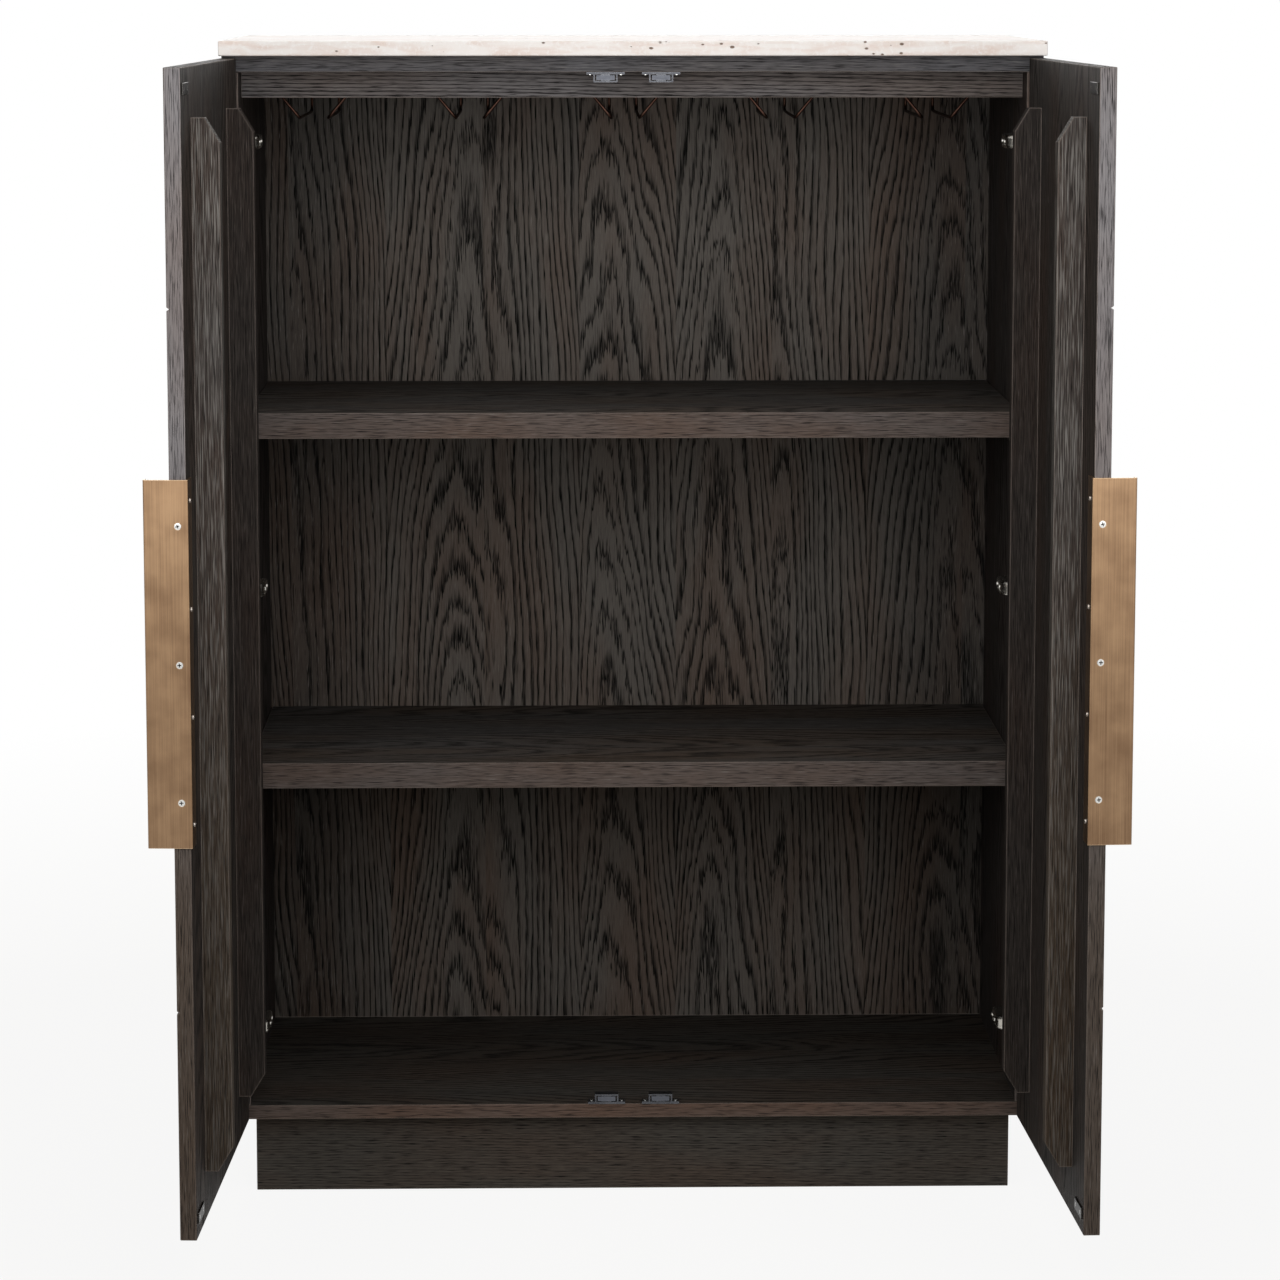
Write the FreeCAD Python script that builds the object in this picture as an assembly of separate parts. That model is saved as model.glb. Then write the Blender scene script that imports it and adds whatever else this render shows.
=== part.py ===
import FreeCAD
import Part
import math
import os

# A two-door storage cabinet of stained oak with a travertine top, in millimetres.
# X runs to the right, Y to the back and Z up. The origin is on the floor, in the
# middle of the carcass. The doors stand open, as they are stored.

Vec = FreeCAD.Vector

# Carcass
carcass_width = 996.0
carcass_depth = 450.0
side_height = 1284.0
side_thickness = 20.0
top_thickness = 20.0
bottom_thickness = 18.0
edge_round = 1.0
back_thickness = 9.0
back_inset = 5.0
back_rebate = 10.0
apron_height = 32.0
apron_thickness = 18.0
apron_setback = 45.0

# Stone top
stone_thickness = 18.0
stone_side_overhang = 2.0
stone_edge_round = 1.5

# Plinth
plinth_height = 100.0
plinth_board = 18.0
plinth_front_setback = 30.0
plinth_back_setback = 12.0
plinth_side_inset = 24.0
plinth_block = 45.0

# Shelves
shelf_thickness = 32.0
shelf_setback = 33.0
shelf_clearance = 1.0
upper_shelf_height = 952.0
lower_shelf_height = 514.0
shelf_pin_radius = 2.5
shelf_pin_head_radius = 4.0
shelf_pin_reach = 9.0
shelf_pin_depth = 10.0
shelf_pin_inset = 45.0
shelf_pin_gap = 0.05

# Doors
door_thickness = 19.0
door_gap = 4.0
door_head_gap = 3.0
door_foot_lift = 1.0
door_reveal = 3.0
door_open_deg = 92.5
groove_bands = 5
groove_width = 4.0
groove_depth = 3.0
batten_depth = 32.0
batten_thickness = 18.0
batten_inset = 80.0
batten_end_gap = 57.0
batten_clip_depth = 17.0
batten_clip_height = 28.0

# Pulls, folded from plate
pull_plate = 2.5
pull_height = 414.0
pull_reach = 29.0
pull_lip = 10.0
pull_flange = 27.0
pull_bend = 2.2
pull_edge_screw_count = 3
pull_edge_screw_pitch = 155.4
pull_face_screw_count = 4
pull_face_screw_pitch = 121.7
pull_face_screw_inset = 15.0

# Concealed cup hinges
hinge_count = 3
hinge_head_clear = 27.0
hinge_foot_clear = 72.0
pin_radius = 1.5
pin_from_edge = 8.5
pin_from_face = 9.0
pin_clearance = 0.05
knuckle_radius = 2.4
knuckle_clearance = 0.6
cup_radius = 17.5
cup_from_edge = 22.5
cup_wall = 1.0
cup_depth = 13.5
cup_flange_thickness = 1.5
cup_flange_radius = 19.5
cup_flange_width = 17.0
cup_flange_length = 60.0
cup_flange_corner = 5.5
cup_screw_spacing = 48.0
arm_thickness = 2.5
arm_bend = 2.2
arm_width = 14.0
arm_tail_width = 18.0
arm_tail_start = 6.0
arm_standoff = 4.0
plate_start = 22.0
plate_length = 40.0
plate_wing_start = 10.0
plate_wing_length = 14.0
plate_wing_height = 52.0
plate_screw_spacing = 32.0
arm_screw_front = 8.0
arm_screw_back = 34.0

# Magnetic catches and their strike plates
catch_offset = 33.7
catch_flange_width = 46.0
catch_flange_thickness = 2.5
catch_body_width = 29.0
catch_body_height = 9.5
catch_wall = 1.5
catch_depth = 15.0
catch_proud = 1.5
magnet_width = 22.0
magnet_height = 5.5
magnet_pad_width = 11.0
strike_width = 45.0
strike_height = 13.0
strike_thickness = 2.0
strike_edge_round = 0.5
strike_screw_spacing = 30.0

# Wire racks for stemware
rack_count = 5
rack_pitch = 192.0
rack_offset = -8.0
rack_gap = 35.0
rack_drop = 58.0
rack_front = 85.0
rack_length = 250.0
rack_splay = 48.0
wire_radius = 2.0
wire_bend = 9.0
wire_socket = 12.0

# Screws: head radius, head height, shank radius, shank length
pan_screw = (3.5, 2.0, 1.75, 12.0)
small_pan_screw = (2.6, 1.5, 1.3, 9.0)
flat_screw = (4.0, 2.2, 1.9, 22.0)
small_flat_screw = (2.4, 1.2, 1.2, 9.0)
back_screw = (3.5, 2.0, 1.5, 24.0)
cross_share = 0.62
cross_width_share = 0.2
cross_depth_share = 0.55
back_screw_rows = 5
back_screw_end = 60.0

# Cutters run this far past a face, and edges this close are at the same place
cut_past = 1.0
same_place = 0.01

# Worked out from the above
half_width = carcass_width / 2
inner_half = half_width - side_thickness
front = -carcass_depth / 2
rear = carcass_depth / 2
floor_top = plinth_height + bottom_thickness
ceiling = floor_top + side_height
carcass_top = ceiling + top_thickness
back_rear = rear - back_inset
back_front = back_rear - back_thickness
stone_front = front - door_gap - door_thickness
door_foot = plinth_height + door_foot_lift
door_head = carcass_top - door_head_gap
door_height = door_head - door_foot
door_middle = (door_head + door_foot) / 2
door_width = half_width - pull_plate - door_reveal / 2
pin_x = -half_width + pin_from_edge
pin_y = front - door_gap - pin_from_face
hinge_low = floor_top + hinge_foot_clear + plate_wing_height / 2
hinge_high = ceiling - apron_height - hinge_head_clear - plate_wing_height / 2
hinge_pitch = (hinge_high - hinge_low) / (hinge_count - 1)
hinge_heights = [hinge_low + hinge_pitch * i for i in range(hinge_count)]
magnet_drop = catch_flange_thickness + (catch_body_height - catch_wall) / 2


def box(x0, x1, y0, y1, z0, z1):
    return Part.makeBox(x1 - x0, y1 - y0, z1 - z0, Vec(x0, y0, z0))


def soft_box(x0, x1, y0, y1, z0, z1, radius=edge_round):
    solid = box(x0, x1, y0, y1, z0, z1)
    return solid.makeFillet(radius, solid.Edges)


def rod(radius, start, end):
    way = Vec(*end) - Vec(*start)
    return Part.makeCylinder(radius, way.Length, Vec(*start), way)


def prism(points, way):
    face = Part.Face(Part.makePolygon([Vec(*p) for p in points + points[:1]]))
    return face.extrude(Vec(*way))


def mirrored(shape):
    return shape.mirror(Vec(0, 0, 0), Vec(1, 0, 0))


def save(name, solids):
    Part.makeCompound(solids).exportStep(os.path.join("parts", name + ".step"))


def cross_recess(radius, depth):
    # The cross of a driver, sunk from the top of a head at the origin
    reach = radius * cross_share
    half = radius * cross_width_share
    one = box(-reach, reach, -half, half, -depth, 0)
    return one.fuse(box(-half, half, -reach, reach, -depth, 0))


def place(shape, at, way):
    turned = shape.copy()
    turned.Placement = FreeCAD.Placement(Vec(*at), FreeCAD.Rotation(Vec(0, 0, 1), Vec(*way)))
    return turned


def pan_head_screw(size, at, way):
    # The head stands on the surface at the given point, and faces the given way
    head_radius, head_height, shank_radius, length = size
    head = Part.makeCylinder(head_radius, head_height)
    rim = [edge for edge in head.Edges if edge.BoundBox.ZMin > head_height / 2 and edge.Closed]
    head = head.makeFillet(head_height * cross_share, rim)
    shank = Part.makeCylinder(shank_radius, length, Vec(0, 0, -length))
    recess = cross_recess(head_radius, head_height * cross_depth_share)
    recess.translate(Vec(0, 0, head_height))
    return place(head.fuse(shank).cut(recess), at, way)


def flat_head_screw(size, at, way):
    # The flat top of the head lies in the surface at the given point
    head_radius, head_height, shank_radius, length = size
    head = Part.makeCone(shank_radius, head_radius, head_height, Vec(0, 0, -head_height))
    shank = Part.makeCylinder(shank_radius, length - head_height, Vec(0, 0, -length))
    recess = cross_recess(head_radius, head_height * cross_depth_share)
    return place(head.fuse(shank).cut(recess), at, way)


def screw_seat(size, at, way, flat=False):
    # The room that a screw takes up, without its recess
    head_radius, head_height, shank_radius, length = size
    shank = Part.makeCylinder(shank_radius, length, Vec(0, 0, -length))
    if flat:
        shank = shank.fuse(Part.makeCone(shank_radius, head_radius, head_height, Vec(0, 0, -head_height)))
    return place(shank, at, way)


def bent_rod(points, radius, bend):
    # A round rod along straight runs joined by tangent arcs
    points = [Vec(*p) for p in points]
    edges = []
    start = points[0]
    for before, corner, after in zip(points, points[1:], points[2:]):
        back = (before - corner).normalize()
        on = (after - corner).normalize()
        half_angle = back.getAngle(on) / 2
        leg = bend / math.tan(half_angle)
        first = corner + back * leg
        last = corner + on * leg
        middle = (back + on).normalize()
        crown = corner + middle * (bend / math.sin(half_angle) - bend)
        edges.append(Part.LineSegment(start, first).toShape())
        edges.append(Part.Arc(first, crown, last).toShape())
        start = last
    edges.append(Part.LineSegment(start, points[-1]).toShape())
    way = points[1] - points[0]
    ring = Part.Wire(Part.Circle(points[0], way, radius).toShape())
    return Part.Wire(edges).makePipeShell([ring], True, False)


# Racks: two mirrored wires each, hung from the underside of the top

def rack_wire(middle, hand):
    x = middle + hand * rack_gap / 2
    y_front = front + rack_front
    y_rear = y_front + rack_length
    z_rail = ceiling - rack_drop
    slope = rack_splay / rack_drop
    x_end = x + hand * slope * (rack_drop + wire_socket)
    top = ceiling + wire_socket
    route = [(x, y_rear, top), (x, y_rear, z_rail), (x, y_front, z_rail), (x_end, y_front, top)]
    return bent_rod(route, wire_radius, wire_bend)


def racks():
    middles = [rack_offset + rack_pitch * (i - (rack_count - 1) / 2) for i in range(rack_count)]
    return [[rack_wire(middle, -1), rack_wire(middle, 1)] for middle in middles]


# Catches: a folded bracket with a magnet in it, and two screws

def catch(x, z, up):
    # up is 1 for a catch that stands on the bottom panel, -1 for one under the top
    y0 = front - catch_proud
    y1 = y0 + catch_depth
    flange_end = z + up * catch_flange_thickness
    body_end = flange_end + up * catch_body_height
    inner_end = body_end - up * catch_wall
    half_body = catch_body_width / 2
    inner = half_body - catch_wall
    flange = box(x - catch_flange_width / 2, x + catch_flange_width / 2, y0, y1, *sorted((z, flange_end)))
    body = box(x - half_body, x + half_body, y0, y1, *sorted((flange_end, body_end)))
    hollow = box(x - inner, x + inner, y0 - cut_past, y1 + cut_past, *sorted((flange_end, inner_end)))
    middle = z + up * magnet_drop
    magnet = box(x - magnet_width / 2, x + magnet_width / 2, y0, y1,
                 middle - magnet_height / 2, middle + magnet_height / 2)
    half_pad = magnet_pad_width / 2
    half_magnet = up * magnet_height / 2
    gaps = ((flange_end, middle - half_magnet), (middle + half_magnet, inner_end))
    pads = [box(x - half_pad, x + half_pad, y0 + catch_wall, y1 - catch_wall, *sorted(gap)) for gap in gaps]
    lug = (catch_flange_width / 2 + half_body) / 2
    y_screw = (y0 + y1) / 2
    seats = [((x + hand * lug, y_screw, flange_end), (0, 0, up)) for hand in (-1, 1)]
    bracket = flange.fuse(body.cut(hollow)).fuse(pads)
    return bracket, magnet, seats


def catches():
    places = [(hand * catch_offset, z, up) for z, up in ((ceiling, -1), (floor_top, 1)) for hand in (-1, 1)]
    return [catch(*spot) for spot in places]


# Hinges: the arm and its plate stay on the carcass, the cup and the pin turn with the door

def hinge_arm(z):
    half = arm_width / 2
    x_leg = -inner_half + arm_standoff
    y_low = pin_y - arm_thickness / 2
    y_high = pin_y + arm_thickness / 2
    y_tail = front + plate_start + plate_length
    y_wide = front + arm_tail_start
    reach = box(pin_x, x_leg + arm_thickness, y_low, y_high, z - half, z + half)
    leg = box(x_leg, x_leg + arm_thickness, y_low, y_tail, z - half, z + half)
    tail = box(x_leg, x_leg + arm_thickness, y_wide, y_tail, z - arm_tail_width / 2, z + arm_tail_width / 2)
    knuckle = rod(knuckle_radius, (pin_x, pin_y, z - half), (pin_x, pin_y, z + half))
    bore = rod(pin_radius + pin_clearance, (pin_x, pin_y, z - arm_width), (pin_x, pin_y, z + arm_width))
    arm = reach.fuse([leg, tail, knuckle]).removeSplitter()
    corner = [e for e in arm.Edges if abs(e.BoundBox.XMin - x_leg - arm_thickness) < same_place
              and abs(e.BoundBox.YMax - y_low) < same_place and e.BoundBox.ZLength > half]
    return arm.makeFillet(arm_bend, corner).cut(bore)


def arm_screw_seats(z):
    x = -inner_half + arm_standoff + arm_thickness
    y = front + plate_start
    return [((x, y + along, z), (1, 0, 0)) for along in (arm_screw_front, arm_screw_back)]


def plate_screw_seats(z):
    y = front + plate_start + plate_wing_start + plate_wing_length / 2
    half = plate_screw_spacing / 2
    return [((-inner_half + arm_standoff, y, z + hand * half), (1, 0, 0)) for hand in (-1, 1)]


def hinge_plate(z):
    x0 = -inner_half
    x1 = x0 + arm_standoff
    y0 = front + plate_start
    spine = soft_box(x0, x1, y0, y0 + plate_length, z - arm_tail_width / 2, z + arm_tail_width / 2)
    y_wing = y0 + plate_wing_start
    half = plate_wing_height / 2
    wing = soft_box(x0, x1, y_wing, y_wing + plate_wing_length, z - half, z + half)
    return spine.fuse(wing)


def cup_body(z, grow):
    # A round cup with a narrow house for the pin, grown outwards from its hollow
    y_face = front - door_gap
    x_cup = -half_width + cup_from_edge
    radius = cup_radius - cup_wall + grow
    depth = cup_depth - cup_wall + grow
    half = arm_width / 2 + knuckle_clearance + grow
    x_house = pin_x - knuckle_radius - knuckle_clearance - grow
    drum = rod(radius, (x_cup, y_face, z), (x_cup, y_face - depth, z))
    return drum.fuse(box(x_house, x_cup, y_face - depth, y_face, z - half, z + half))


def hinge_cup(z):
    y_face = front - door_gap
    x_cup = -half_width + cup_from_edge
    y_flange = y_face + cup_flange_thickness
    half = cup_flange_length / 2
    disc = rod(cup_flange_radius, (x_cup, y_face, z), (x_cup, y_flange, z))
    bar = box(x_cup - cup_flange_width / 2, x_cup + cup_flange_width / 2, y_face, y_flange, z - half, z + half)
    upright = [e for e in bar.Edges if e.BoundBox.YLength > cup_flange_thickness / 2]
    bar = bar.makeFillet(cup_flange_corner, upright)
    mouth = cup_body(z, 0)
    mouth_up = mouth.copy()
    mouth_up.translate(Vec(0, cup_flange_thickness, 0))
    pin_hole = hinge_pin(z)
    return cup_body(z, cup_wall).fuse([disc, bar]).cut([mouth, mouth_up, pin_hole])


def hinge_pin(z):
    half = arm_width / 2 + knuckle_clearance + cup_wall
    return rod(pin_radius, (pin_x, pin_y, z - half), (pin_x, pin_y, z + half))


def cup_screw_seats(z):
    x_cup = -half_width + cup_from_edge
    y = front - door_gap + cup_flange_thickness
    return [((x_cup, y, z + hand * cup_screw_spacing / 2), (0, 1, 0)) for hand in (-1, 1)]


# The left door, drawn shut. The right one is its mirror image.

def spread(count, pitch):
    # Heights of a row of screws, about the middle of the door
    return [door_middle + pitch * (i - (count - 1) / 2) for i in range(count)]


def pull_seats():
    # Screws through the edge of the door, and through its inner face
    x_web = -half_width + door_width + pull_plate
    y_face = front - door_gap
    y_mid = y_face - door_thickness / 2
    x_flange = x_web - pull_face_screw_inset
    y_flange = y_face + pull_plate
    edge = [((x_web, y_mid, z), (1, 0, 0)) for z in spread(pull_edge_screw_count, pull_edge_screw_pitch)]
    face = [((x_flange, y_flange, z), (0, 1, 0)) for z in spread(pull_face_screw_count, pull_face_screw_pitch)]
    return edge, face


def pull():
    x_edge = -half_width + door_width
    x_web = x_edge + pull_plate
    y_in = front - door_gap
    y_flange = y_in + pull_plate
    y_lip = y_in - door_thickness - pull_reach
    z0 = door_middle - pull_height / 2
    outline = [(x_web - pull_flange, y_flange, z0), (x_web, y_flange, z0), (x_web, y_lip, z0),
               (x_web - pull_lip, y_lip, z0), (x_web - pull_lip, y_lip + pull_plate, z0),
               (x_edge, y_lip + pull_plate, z0), (x_edge, y_in, z0), (x_web - pull_flange, y_in, z0)]
    plate = prism(outline, (0, 0, pull_height))
    bends = [e for e in plate.Edges if e.BoundBox.ZLength > pull_height / 2
             and abs(e.BoundBox.XMin - x_web) < same_place]
    return plate.makeFillet(pull_bend, bends)


def strike_places():
    x = -catch_offset
    return [(x, ceiling - magnet_drop), (x, floor_top + magnet_drop)]


def strike_seats():
    y = front - door_gap + strike_thickness
    half = strike_screw_spacing / 2
    return [((x + hand * half, y, z), (0, 1, 0)) for x, z in strike_places() for hand in (-1, 1)]


def strikes():
    y = front - door_gap
    return [soft_box(x - strike_width / 2, x + strike_width / 2, y, y + strike_thickness,
                     z - strike_height / 2, z + strike_height / 2, strike_edge_round)
            for x, z in strike_places()]


def batten(start):
    x = -half_width + start
    y = front - door_gap
    y_free = y + batten_depth
    z0 = door_foot + batten_end_gap
    z1 = door_head - batten_end_gap
    y_clip = y_free - batten_clip_depth
    outline = [(x, y, z0), (x, y_clip, z0), (x, y_free, z0 + batten_clip_height),
               (x, y_free, z1 - batten_clip_height), (x, y_clip, z1), (x, y, z1)]
    solid = prism(outline, (batten_thickness, 0, 0))
    free = [e for e in solid.Edges if e.BoundBox.YMin > y + same_place]
    return solid.makeFillet(edge_round, free)


def door_panel(tools):
    x0 = -half_width
    y0 = front - door_gap - door_thickness
    slab = soft_box(x0, x0 + door_width, y0, y0 + door_thickness, door_foot, door_head)
    x_cut = x0 - cut_past
    grooves = []
    for band in range(1, groove_bands):
        # The cutter starts as far outside the face as it goes in, where it is twice as wide
        z = door_foot + door_height * band / groove_bands
        outline = [(x_cut, y0 - groove_depth, z - groove_width), (x_cut, y0 + groove_depth, z),
                   (x_cut, y0 - groove_depth, z + groove_width)]
        grooves.append(prism(outline, (door_width + 2 * cut_past, 0, 0)))
    return slab.cut(grooves + tools)


def door_pieces():
    edge_seats, face_seats = pull_seats()
    cup_seats = [seat for z in hinge_heights for seat in cup_screw_seats(z)]
    edge_room = [screw_seat(flat_screw, at, way, True) for at, way in edge_seats]
    face_room = [screw_seat(small_pan_screw, at, way) for at, way in face_seats]
    cup_room = [screw_seat(pan_screw, at, way) for at, way in cup_seats]
    strike_room = [screw_seat(small_flat_screw, at, way, True) for at, way in strike_seats()]
    sockets = [cup_body(z, cup_wall) for z in hinge_heights]
    return {
        "door_panel": [door_panel(edge_room + face_room + cup_room + strike_room + sockets)],
        "hinge_batten": [batten(batten_inset)],
        "pull_batten": [batten(door_width - batten_inset - batten_thickness)],
        "pull": [pull().cut(edge_room + face_room)],
        "pull_edge_screws": [flat_head_screw(flat_screw, at, way) for at, way in edge_seats],
        "pull_face_screws": [pan_head_screw(small_pan_screw, at, way) for at, way in face_seats],
        "hinge_cups": [hinge_cup(z).cut(cup_room) for z in hinge_heights],
        "hinge_pins": [hinge_pin(z) for z in hinge_heights],
        "cup_screws": [pan_head_screw(pan_screw, at, way) for at, way in cup_seats],
        "strike_plates": [plate.cut(strike_room) for plate in strikes()],
        "strike_screws": [flat_head_screw(small_flat_screw, at, way) for at, way in strike_seats()],
    }


def opened(shape):
    turned = shape.copy()
    turned.rotate(Vec(pin_x, pin_y, 0), Vec(0, 0, 1), -door_open_deg)
    return turned


# Hinge pieces that stay on the carcass, on the left

def hinge_fixed_pieces():
    arm_seats = [seat for z in hinge_heights for seat in arm_screw_seats(z)]
    plate_seats = [seat for z in hinge_heights for seat in plate_screw_seats(z)]
    arm_room = [screw_seat(small_pan_screw, at, way) for at, way in arm_seats]
    plate_room = [screw_seat(pan_screw, at, way) for at, way in plate_seats]
    pieces = {
        "hinge_arms": [hinge_arm(z).cut(arm_room) for z in hinge_heights],
        "hinge_plates": [hinge_plate(z).cut(arm_room + plate_room) for z in hinge_heights],
        "hinge_arm_screws": [pan_head_screw(small_pan_screw, at, way) for at, way in arm_seats],
        "hinge_plate_screws": [pan_head_screw(pan_screw, at, way) for at, way in plate_seats],
    }
    return pieces, arm_room + plate_room


# Carcass

def shelf_spots():
    ys = (front + shelf_setback + shelf_pin_inset, back_front - shelf_pin_inset)
    return [(y, z - shelf_pin_head_radius - shelf_pin_gap)
            for z in (upper_shelf_height, lower_shelf_height) for y in ys]


def shelf_pin(y, z):
    shank = rod(shelf_pin_radius, (-inner_half - shelf_pin_depth, y, z), (-inner_half, y, z))
    return shank.fuse(rod(shelf_pin_head_radius, (-inner_half, y, z), (-inner_half + shelf_pin_reach, y, z)))


def back_screw_seats():
    span = side_height - 2 * back_screw_end
    x = inner_half + back_rebate / 2
    heights = [floor_top + back_screw_end + span * i / (back_screw_rows - 1) for i in range(back_screw_rows)]
    return [((hand * x, back_rear, z), (0, 1, 0)) for z in heights for hand in (-1, 1)]


def side_panel(tools):
    # The left side, rebated at the back for the back panel
    panel = soft_box(-half_width, -inner_half, front, rear, floor_top, ceiling)
    rebate = box(-inner_half - back_rebate, -inner_half + cut_past, back_front, rear + cut_past,
                 floor_top - cut_past, ceiling + cut_past)
    return panel.cut([rebate] + tools)


def shelf(z):
    half = inner_half - shelf_clearance
    return soft_box(-half, half, front + shelf_setback, back_front - shelf_clearance, z, z + shelf_thickness)


def plinth_pieces():
    x1 = half_width - plinth_side_inset
    y0 = front + plinth_front_setback
    y1 = rear - plinth_back_setback
    inner_y0 = y0 + plinth_board
    inner_y1 = y1 - plinth_board
    blocks = []
    for hand in (-1, 1):
        for y, way in ((inner_y0, 1), (inner_y1, -1)):
            x = hand * (x1 - plinth_board)
            corner = [(x, y, 0), (x - hand * plinth_block, y, 0), (x, y + way * plinth_block, 0)]
            blocks.append(prism(corner, (0, 0, plinth_height)))
    left = soft_box(-x1, -x1 + plinth_board, inner_y0, inner_y1, 0, plinth_height)
    return {
        "plinth_front": [soft_box(-x1, x1, y0, inner_y0, 0, plinth_height)],
        "plinth_back": [soft_box(-x1, x1, inner_y1, y1, 0, plinth_height)],
        "plinth_left": [left],
        "plinth_right": [mirrored(left)],
        "plinth_bearer": [soft_box(-plinth_board / 2, plinth_board / 2, inner_y0, inner_y1, 0, plinth_height)],
        "plinth_corner_blocks": blocks,
    }


def carcass_pieces():
    rack_list = racks()
    catch_list = catches()
    catch_seats = [seat for _, _, seats in catch_list for seat in seats]
    catch_room = [screw_seat(small_pan_screw, at, way) for at, way in catch_seats]
    back_seats = back_screw_seats()
    back_room = [screw_seat(back_screw, at, way) for at, way in back_seats]
    hinge_pieces, hinge_room = hinge_fixed_pieces()
    left_pins = [shelf_pin(y, z) for y, z in shelf_spots()]
    left_side = side_panel(hinge_room + left_pins + back_room)
    wires = [wire for rack in rack_list for wire in rack]
    stone_half = half_width + stone_side_overhang
    top = soft_box(-half_width, half_width, front, rear, ceiling, carcass_top)
    bottom = soft_box(-half_width, half_width, front, rear, plinth_height, floor_top)
    back_half = inner_half + back_rebate
    back = box(-back_half, back_half, back_front, back_rear, floor_top, ceiling)
    apron_front = front + apron_setback
    pieces = {
        "stone_top": [soft_box(-stone_half, stone_half, stone_front, rear, carcass_top,
                               carcass_top + stone_thickness, stone_edge_round)],
        "top_panel": [top.cut(wires + catch_room)],
        "bottom_panel": [bottom.cut(catch_room)],
        "left_side_panel": [left_side],
        "right_side_panel": [mirrored(left_side)],
        "back_panel": [back.cut(back_room)],
        "back_panel_screws": [pan_head_screw(back_screw, at, way) for at, way in back_seats],
        "top_apron": [soft_box(-inner_half, inner_half, apron_front, apron_front + apron_thickness,
                               ceiling - apron_height, ceiling)],
        "upper_shelf": [shelf(upper_shelf_height)],
        "lower_shelf": [shelf(lower_shelf_height)],
        "shelf_pins": left_pins + [mirrored(pin) for pin in left_pins],
        "catch_brackets": [bracket.cut(catch_room) for bracket, _, _ in catch_list],
        "catch_magnets": [magnet for _, magnet, _ in catch_list],
        "catch_screws": [pan_head_screw(small_pan_screw, at, way) for at, way in catch_seats],
    }
    for number, rack in enumerate(rack_list, 1):
        pieces["glass_rack_%d" % number] = rack
    for name, solids in hinge_pieces.items():
        pieces["left_" + name] = solids
        pieces["right_" + name] = [mirrored(solid) for solid in solids]
    pieces.update(plinth_pieces())
    return pieces


def main():
    os.makedirs("parts", exist_ok=True)
    pieces = carcass_pieces()
    for name, solids in door_pieces().items():
        left = [opened(solid) for solid in solids]
        pieces["left_" + name] = left
        pieces["right_" + name] = [mirrored(solid) for solid in left]
    for name, solids in pieces.items():
        bad = [solid for solid in solids if not solid.isValid() or len(solid.Solids) != 1]
        volume = round(sum(solid.Volume for solid in solids))
        print(name, len(solids), "solids", volume, "mm3", "BAD" if bad else "")
        save(name, solids)
    print(len(pieces), "nodes; pin at", pin_x, pin_y, "door width", door_width, "door", door_foot, door_head)


main()
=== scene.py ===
import math
import bmesh
import bpy
from mathutils import Matrix, Vector


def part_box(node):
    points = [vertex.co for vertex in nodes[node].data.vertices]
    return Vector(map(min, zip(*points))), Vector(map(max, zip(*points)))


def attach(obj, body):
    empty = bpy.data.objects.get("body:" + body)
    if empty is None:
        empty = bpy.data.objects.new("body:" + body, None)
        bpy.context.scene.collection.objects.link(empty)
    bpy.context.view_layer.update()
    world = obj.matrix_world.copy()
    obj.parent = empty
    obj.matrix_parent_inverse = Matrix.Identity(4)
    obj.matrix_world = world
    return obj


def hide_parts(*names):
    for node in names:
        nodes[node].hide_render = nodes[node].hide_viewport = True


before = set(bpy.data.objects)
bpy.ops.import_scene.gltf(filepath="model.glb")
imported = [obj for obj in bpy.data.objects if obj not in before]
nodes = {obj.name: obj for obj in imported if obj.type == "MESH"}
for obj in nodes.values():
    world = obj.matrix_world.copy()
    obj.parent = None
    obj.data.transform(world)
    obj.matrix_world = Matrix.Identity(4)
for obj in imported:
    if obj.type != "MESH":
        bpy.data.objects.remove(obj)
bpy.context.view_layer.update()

mm = 0.001
perMetre = 1000.0                      # mm
hands = {"left_": 1, "right_": -1}     # which way along X is inward on each side


def linear(hexText):
    # sRGB hex to the linear colour that sockets take
    parts = [int(hexText[i:i + 2], 16) / 255 for i in (1, 3, 5)]
    return tuple(c / 12.92 if c <= 0.04045 else ((c + 0.055) / 1.055) ** 2.4 for c in parts) + (1.0,)


def put(tree, kind, ins=None, out=0, **settings):
    # adds a node, sets it, links it and gives one of its outputs
    node = tree.nodes.new(kind)
    for key, value in settings.items():
        setattr(node, key, value)
    for key, value in (ins or {}).items():
        if isinstance(value, bpy.types.NodeSocket):
            tree.links.new(value, node.inputs[key])
        else:
            node.inputs[key].default_value = value
    return node.outputs[out]


def newMaterial(name):
    material = bpy.data.materials.new(name)
    material.use_nodes = True
    material.node_tree.nodes.clear()
    return material, material.node_tree


def dress(names, material):
    # puts a material on the CAD's own meshes
    for name in names:
        mesh = nodes[name].data
        mesh.materials.clear()
        mesh.materials.append(material)


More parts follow.
